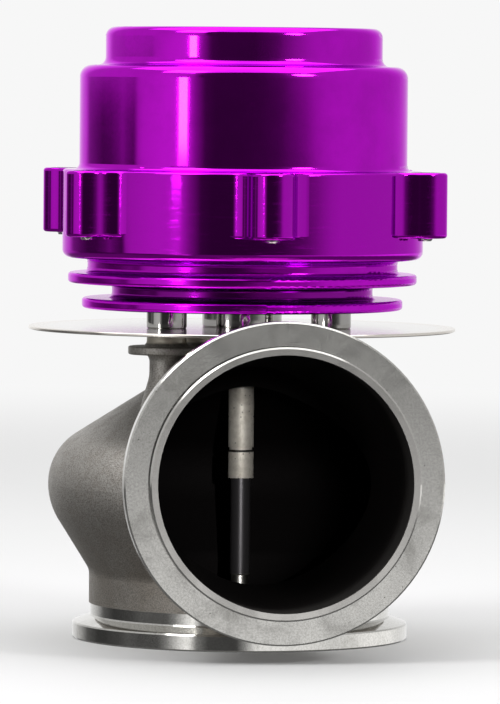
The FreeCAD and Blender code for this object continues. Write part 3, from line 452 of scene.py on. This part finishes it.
def valve_steel():
    """The valve: bright at its neck, where a highlight is painted, dark on its stem and darker on its head,
    clean at its threaded end.
    """
    shader = Shader("valve_steel", {})
    place = shader.place()
    z = shader.split(place)[2]
    # Painted highlight: the neck gets a bright steel colour that stands in for the highlights on it
    neck_highlight = shader.math("MULTIPLY", shader.below(z, STEM_NECK_TO), shader.below(STEM_NECK_FROM, z))
    clean = shader.fit(z, STEM_CLEAN_FROM - 3.0, STEM_CLEAN_FROM)
    highlight_and_clean_share = shader.math("MAXIMUM", neck_highlight, clean)
    soot_and_painted_shade = shader.noise(place, 4.0, 4.0, 0.65)
    dark = shader.mix(soot_and_painted_shade, (0.10, 0.094, 0.098), (0.066, 0.062, 0.066))
    head = shader.below(z, STEM_NECK_FROM)
    dark = shader.mix(head, dark, (0.03, 0.027, 0.026))
    bright = shader.mix(soot_and_painted_shade, (0.70, 0.68, 0.64), (0.54, 0.52, 0.48))
    shader.set("Base Color", shader.mix(highlight_and_clean_share, dark, bright))
    shader.set("Metallic", shader.blend(highlight_and_clean_share, 0.6, 1.0))
    shader.set("Roughness", shader.fit(soot_and_painted_shade, 0.3, 0.7, 0.30, 0.42, smooth=False))
    shader.set("Normal", shader.bump(shader.turned(place), 0.003))
    return shader.material


def rubber(name, base):
    """Dull rubber or plastic with a fine grain."""
    shader = Shader(name, {"Metallic": 0.0, "Specular IOR Level": 0.35})
    grain = shader.noise(shader.place(), 0.25, 3.0)
    lighter = tuple(1.35 * level for level in base)
    shader.set("Base Color", shader.mix(grain, base, lighter))
    shader.set("Roughness", shader.fit(grain, 0.3, 0.7, 0.62, 0.78, smooth=False))
    shader.set("Normal", shader.bump(grain, 0.02))
    return shader.material


def heat_shield_steel():
    """Polished stainless sheet with circular brush marks and a straw tint at its rim."""
    shader = Shader("shield_steel", {"Metallic": 1.0})
    place = shader.place()
    x, y = shader.split(place)[:2]
    radius = shader.length(x, y)
    cloud = shader.noise(place, 8.0, 4.0)
    base = shader.mix(cloud, (0.88, 0.87, 0.86), (0.80, 0.79, 0.77))
    tint = shader.fit(radius, SHIELD_TINT_FROM, SHIELD_TINT_TO, 0.0, 0.35)
    shader.set("Base Color", shader.mix(tint, base, (0.74, 0.63, 0.50)))
    brush = shader.streaks(radius, 0.35, 4.0, 0.75)
    shader.set("Roughness", shader.fit(brush, 0.3, 0.7, 0.10, 0.2, smooth=False))
    shader.set("Normal", shader.bump(brush, 0.003))
    return shader.material


def materials():
    """Every material by the record's slot."""
    steel, bare_aluminium = (0.68, 0.67, 0.66), (0.76, 0.76, 0.77)
    return {
        "cast_steel": cast_steel(),
        "seat_steel": turned_steel("seat_steel", (0.56, 0.54, 0.51), 0.24, 0.004),
        "valve_steel": valve_steel(),
        "guide_steel": guide_steel(),
        "polished_steel": turned_steel("polished_steel", (0.47, 0.46, 0.445), 0.05, 0.0003, blotch=0.03),
        "shield_steel": heat_shield_steel(),
        "bronze": turned_steel("bronze", (0.66, 0.46, 0.22), 0.26, 0.004),
        "seal_rubber": rubber("seal_rubber", (0.035, 0.035, 0.037)),
        "seal_plastic": rubber("seal_plastic", (0.22, 0.18, 0.14)),
        "spring_steel": turned_steel("spring_steel", (0.34, 0.36, 0.40), 0.28, 0.0),
        "fastener_steel": turned_steel("fastener_steel", steel, 0.22, 0.002),
        "copper_washer": turned_steel("copper_washer", (0.78, 0.40, 0.26), 0.28, 0.002),
        "anodised_housing": anodised("anodised_housing"),
        "anodised_cap": anodised("anodised_cap"),
        "diaphragm_rubber": rubber("diaphragm_rubber", (0.07, 0.062, 0.058)),
        "retainer_aluminium": turned_steel("retainer_aluminium", bare_aluminium, 0.24, 0.004),
        "piston_aluminium": turned_steel("piston_aluminium", bare_aluminium, 0.24, 0.004),
    }


def finish_nodes(finishes):
    """Give each CAD node the material of its slot in the record."""
    for name, slot in SLOTS.items():
        node_materials = NODES[name].data.materials
        node_materials.clear()
        node_materials.append(finishes[slot])


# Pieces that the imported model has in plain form


def placed(name, data):
    """A new object in the scene."""
    thing = bpy.data.objects.new(name, data)
    bpy.context.scene.collection.objects.link(thing)
    return thing


def loft(name, rings, looped=False):
    """A mesh skinned over closed rings of points in millimetres, capped unless it loops."""
    count = len(rings[0])
    points = [Vector(point) * MM for ring in rings for point in ring]
    steps = len(rings) if looped else len(rings) - 1
    faces = []
    for step in range(steps):
        low, high = step * count, (step + 1) % len(rings) * count
        for k in range(count):
            after = (k + 1) % count
            faces.append((low + k, low + after, high + after, high + k))
    if not looped:
        faces.append(tuple(reversed(range(count))))
        faces.append(tuple(range(steps * count, (steps + 1) * count)))
    mesh = bpy.data.meshes.new(name)
    mesh.from_pydata(points, [], faces)
    mesh.shade_smooth()
    mesh.set_sharp_from_angle(angle=math.radians(35))
    return placed(name, mesh)


def fitted(thing, node, finishes):
    """Fix a piece to the housing, with the finish of a CAD node's slot."""
    thing.data.materials.append(finishes[SLOTS[node]])
    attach(thing, "housing")


def ring_points(radius, z, count, centre=(0.0, 0.0)):
    """A level ring of points; its radius is a number or a function of the angle and the height."""
    points = []
    for k in range(count):
        angle = 2 * math.pi * k / count
        r = radius(angle, z) if callable(radius) else radius
        points.append((centre[0] + r * math.cos(angle), centre[1] + r * math.sin(angle), z))
    return points


def thread_height(along, angle, pitch):
    """How far up its ridge a thread is, from 0 to 1, at a place along it and an angle round it."""
    turn = (along / pitch - angle / (2 * math.pi)) % 1.0
    return 1 - abs(2 * turn - 1)


def cap_screw(name, centre):
    """A socket cap screw with a knurled head, a hexagon socket and a thread up its shank."""
    length, head, socket = 12.1, 4.0, 2.0
    shank_r, head_r, hexagon = 2.0, 3.5, 1.5
    pitch, thread, turns, crest_width, bevel, knurl = 0.7, 0.38, 7, 1.3, 0.45, 0.16
    tip, top = SCREW_SEAT - length, SCREW_SEAT + head
    core_r, point_r = shank_r - thread, 1e-3
    count = 72

    def threaded(angle, z):
        ridge = min(1.0, crest_width * thread_height(z, angle, pitch))
        return min(core_r + thread * ridge, shank_r - bevel + (z - tip))

    def knurled(angle, z):
        return head_r - (knurl if round(angle * count / (2 * math.pi)) % 2 else 0.0)

    def hexagonal(angle, z):
        return hexagon / math.cos((angle + math.pi / 6) % (math.pi / 3) - math.pi / 6)

    thread_end = tip + turns * pitch
    profile = [(point_r, tip)]
    profile += [(threaded, tip + k * pitch / THREAD_ROWS) for k in range(turns * THREAD_ROWS + 1)]
    profile += [(core_r, thread_end + 0.1), (shank_r, thread_end + 0.5), (shank_r, SCREW_SEAT)]
    profile += [(head_r - 0.2, SCREW_SEAT), (head_r, SCREW_SEAT + 0.2), (head_r, SCREW_SEAT + 0.5)]
    profile += [(knurled, SCREW_SEAT + 0.6), (knurled, top - 0.6), (head_r - 0.05, top - 0.5)]
    profile += [(head_r - 0.4, top), (hexagon + 0.35, top), (hexagonal, top - 0.2)]
    profile += [(hexagonal, top - socket), (point_r, top - socket - 0.5)]
    return loft(name, [ring_points(radius, z, count, centre) for radius, z in profile])


def cap_screws(finishes):
    """The six screws through the ears."""
    for number, azimuth in enumerate(EAR_AZIMUTHS, start=1):
        angle = math.radians(azimuth)
        centre = (EAR_PITCH_R * math.cos(angle), EAR_PITCH_R * math.sin(angle))
        screw = cap_screw(f"cap_screw_{number}", centre)
        fitted(screw, "cap_screws", finishes)
        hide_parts("cap_screws")


def spring(node, mean_r, wire_r, turns, finishes):
    """A compression spring with closed ends that are ground flat."""
    sides, per_turn, closed, ground = 16, 48, 1.0, 0.4
    low, high = SPRING_SEAT + ground * wire_r, CEILING_Z - ground * wire_r
    end_rise = 2.05 * wire_r
    pitch = (high - low - 2 * end_rise * closed) / (turns - 2 * closed)

    def height(turn):
        if turn < closed:
            return low + turn * end_rise
        if turn > turns - closed:
            return high - (turns - turn) * end_rise
        return low + closed * end_rise + (turn - closed) * pitch

    rings = []
    for step in range(int(turns * per_turn) + 1):
        turn = step / per_turn
        angle = 2 * math.pi * turn
        ring = []
        for k in range(sides):
            round_wire = 2 * math.pi * k / sides
            r = mean_r + wire_r * math.cos(round_wire)
            z = height(turn) + wire_r * math.sin(round_wire)
            z = min(max(z, SPRING_SEAT), CEILING_Z)
            ring.append((r * math.cos(angle), r * math.sin(angle), z))
        rings.append(ring)
    coil = loft(node + "_coil", rings)
    fitted(coil, node, finishes)
    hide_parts(node)
    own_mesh(coil)


def rolled_diaphragm(finishes):
    """The rubber cup, moulded with fine ribs round its wall."""
    count, roll_steps, ribs = 128, 8, 32
    foot, bead, squeezed = 91.6, JOINT_Z - 1.2, 0.103
    hole_r, floor_r, roll, lean, rib_height, bead_r = 2.03, 30.1, 2.5, 3.6, 0.12, 42.2
    outside = [(hole_r, foot), (20.0, foot), (floor_r, foot)]
    for k in range(1, roll_steps + 1):
        angle = math.radians(90 * k / roll_steps - 90)
        outside.append((floor_r + roll * math.cos(angle), foot + roll + roll * math.sin(angle)))
    for k in range(1, ribs + 1):
        share = k / ribs
        rib = rib_height * (k % 2)
        outside.append((floor_r + roll + lean * share + rib, foot + roll + (bead - foot - roll) * share))
    outside += [(37.0, bead), (bead_r, bead)]
    inside = [(bead_r, JOINT_Z), (36.0, JOINT_Z), (35.0, JOINT_Z - 3.6), (32.2, foot + 3.2)]
    inside += [(31.2, foot + 1.6), (30.2, foot + 1.0), (20.0, foot + 1.0), (hole_r, foot + 1.0)]
    rings = [ring_points(radius, z, count) for radius, z in outside + inside]
    cup = loft("diaphragm_cup", rings, looped=True)
    fitted(cup, "diaphragm", finishes)
    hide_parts("diaphragm")
    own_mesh(cup)


def port_thread(name, node, skin_r, depth, z, finishes):
    """The thread inside a port, as ridges that stand in from its wall."""
    pitch, ridge, gap, bare_end, count = 0.94, 0.35, 0.03, 0.9, 48
    azimuth = math.radians(PORT_AZIMUTH)
    out = Vector((math.cos(azimuth), math.sin(azimuth), 0.0))
    side = Vector((-math.sin(azimuth), math.cos(azimuth), 0.0))
    start, end = skin_r - depth, skin_r - bare_end
    steps = int((end - start) / pitch * THREAD_ROWS)

    def ring(reach, inward, height):
        """A ring of points across the port, which stands in from its wall as the thread does."""
        points = []
        for k in range(count):
            angle = 2 * math.pi * k / count
            r = PORT_WALL_R - inward - height * thread_height(reach, angle, pitch)
            centre = out * reach + Vector((0.0, 0.0, z))
            points.append(centre + side * (r * math.cos(angle)) + Vector((0.0, 0.0, r * math.sin(angle))))
        return points

    rings = [ring(start, 0.0, 0.0)]
    rings += [ring(start + (end - start) * step / steps, gap, ridge) for step in range(steps + 1)]
    rings.append(ring(end, 0.0, 0.0))
    fitted(loft(name, rings, looped=True), node, finishes)


def new_pieces(finishes):
    """Every piece made here."""
    cap_screws(finishes)
    spring("outer_spring", mean_r=25.5, wire_r=1.7, turns=6.0, finishes=finishes)
    spring("inner_spring", mean_r=17.0, wire_r=1.4, turns=7.5, finishes=finishes)
    rolled_diaphragm(finishes)
    port_thread("boost_port_thread", "lower_housing", RING_R, depth=6.8, z=JOINT_Z - 6.6, finishes=finishes)
    port_thread("vent_port_thread", "top_cap", CAP_R, depth=4.3, z=JOINT_Z + 20.0, finishes=finishes)


# Studio and camera


def around(azimuth, elevation, distance, centre):
    """A point seen from a centre at an azimuth and an elevation, in degrees."""
    a, e = math.radians(azimuth), math.radians(elevation)
    way = Vector((math.sin(a) * math.cos(e), -math.cos(a) * math.cos(e), math.sin(e)))
    return centre + way * distance


def aim(thing, target, roll=0.0):
    """Point a camera or a lamp at a place, then turn it about its own view."""
    place = (target - thing.location).to_track_quat("-Z", "Y").to_matrix().to_4x4()
    place.translation = thing.location
    thing.matrix_world = place @ Quaternion((0.0, 0.0, 1.0), math.radians(roll)).to_matrix().to_4x4()


def soft_lamps():
    """A strip and a high lamp at the left, and lamps at the right and overhead.

    Each faces the object and is as bright as asked wherever it is.
    """
    for name, azimuth, elevation, distance, width, height, brightness, shape in LAMPS:
        data = bpy.data.lights.new(name, "AREA")
        data.shape = shape
        data.size, data.size_y = width, height
        data.energy = brightness * math.pi * width * height
        thing = placed(name, data)
        thing.location = around(azimuth, elevation, distance, LAMP_TARGET)
        aim(thing, LAMP_TARGET)
        thing.visible_camera = False


def beam():
    """A narrow beam that lights the guide through the outlet."""
    data = bpy.data.lights.new("beam", "SPOT")
    data.energy = BEAM_IRRADIANCE * 4 * math.pi * BEAM_DISTANCE**2
    data.spot_size = 2 * math.atan(BEAM_WIDTH / 2 / BEAM_DISTANCE)
    data.spot_blend = BEAM_BLEND
    data.shadow_soft_size = BEAM_SOURCE_R
    thing = placed("beam", data)
    thing.location = around(BEAM_AZIMUTH, BEAM_ELEVATION, BEAM_DISTANCE, BEAM_TARGET)
    aim(thing, BEAM_TARGET)
    thing.visible_camera = False


def studio_world():
    """Surroundings that are darker in front of the object and pale behind it, pale to the camera."""
    world = bpy.data.worlds.new("studio")
    bpy.context.scene.world = world
    world.use_nodes = True
    world.node_tree.nodes.clear()
    graph = Graph(world.node_tree)
    x, y, z = graph.split(graph.add("ShaderNodeTexCoord", {}).outputs["Generated"])
    azimuth = graph.math("ARCTAN2", x, graph.math("MULTIPLY", y, -1.0))
    share = graph.math("MULTIPLY_ADD", azimuth, 1 / (2 * math.pi), 0.5)
    low, below, above = (
        graph.ramp(share, [(degrees / 360 + 0.5, level / BRIGHTEST) for degrees, level in stops])
        for stops in (LOW, BELOW, ABOVE)
    )
    deep = (DEEP_LEVEL / BRIGHTEST,) * 3
    low = graph.mix(graph.fit(z, DEEP_FROM - DEEP_SOFT, DEEP_FROM + DEEP_SOFT), deep, low)
    below = graph.mix(graph.fit(z, LOW_FROM - LOW_SOFT, LOW_FROM + LOW_SOFT), low, below)
    level = graph.mix(graph.fit(z, -HORIZON_SOFT, HORIZON_SOFT), below, above)
    studio = graph.add("ShaderNodeBackground", {0: level, 1: BRIGHTEST})
    backdrop = graph.add("ShaderNodeBackground", {0: grey(BACKDROP)})
    seen = graph.add("ShaderNodeLightPath", {}).outputs["Is Camera Ray"]
    either = graph.add("ShaderNodeMixShader", {0: seen, 1: studio.outputs[0], 2: backdrop.outputs[0]})
    graph.add("ShaderNodeOutputWorld", {0: either.outputs[0]})


def floor():
    """A round pale floor that fades into the backdrop, seen by the camera alone."""
    count = 96
    angles = [2 * math.pi * k / count for k in range(count)]
    points = [(FLOOR_R * math.cos(a), FLOOR_R * math.sin(a), 0.0) for a in angles]
    mesh = bpy.data.meshes.new("floor")
    mesh.from_pydata(points, [], [list(range(count))])
    thing = placed("floor", mesh)
    shader = Shader("floor", {"Base Color": grey(FLOOR_LEVEL), "Roughness": 0.7})
    place = shader.add("ShaderNodeTexCoord", {}).outputs["Object"]
    distance = shader.add("ShaderNodeVectorMath", {0: place}, operation="LENGTH").outputs["Value"]
    pale = shader.add("ShaderNodeEmission", {"Color": grey(BACKDROP)}).outputs[0]
    fade = shader.fit(distance, 0.35 * FLOOR_R, 0.95 * FLOOR_R)
    seen = shader.add("ShaderNodeMixShader", {0: fade, 1: shader.surface.outputs[0], 2: pale}).outputs[0]
    clear = shader.add("ShaderNodeBsdfTransparent", {}).outputs[0]
    camera_ray = shader.add("ShaderNodeLightPath", {}).outputs["Is Camera Ray"]
    either = shader.add("ShaderNodeMixShader", {0: camera_ray, 1: clear, 2: seen}).outputs[0]
    shader.tree.links.new(either, shader.tree.nodes["Material Output"].inputs[0])
    mesh.materials.append(shader.material)


def camera():
    """The camera at the photograph's viewing angle."""
    data = bpy.data.cameras.new("camera")
    data.sensor_width = 36.0
    data.lens = LENS_MM
    data.clip_start, data.clip_end = 0.01, 50.0
    thing = placed("camera", data)
    a = math.radians(CAMERA_AZIMUTH)
    right = Vector((math.cos(a), math.sin(a), 0.0))
    back = Vector((math.sin(a), -math.cos(a), 0.0))
    eye = right * AIM_RIGHT + back * CAMERA_DISTANCE
    eye.z = CAMERA_HEIGHT
    thing.location = eye
    aim(thing, right * AIM_RIGHT + Vector((0.0, 0.0, AIM_HEIGHT)), CAMERA_ROLL)
    bpy.context.scene.camera = thing


def main():
    """Set up the studio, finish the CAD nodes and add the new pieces."""
    bpy.context.scene.view_settings.view_transform = "Standard"
    studio_world()
    soft_lamps()
    beam()
    floor()
    camera()
    finishes = materials()
    finish_nodes(finishes)
    new_pieces(finishes)


main()
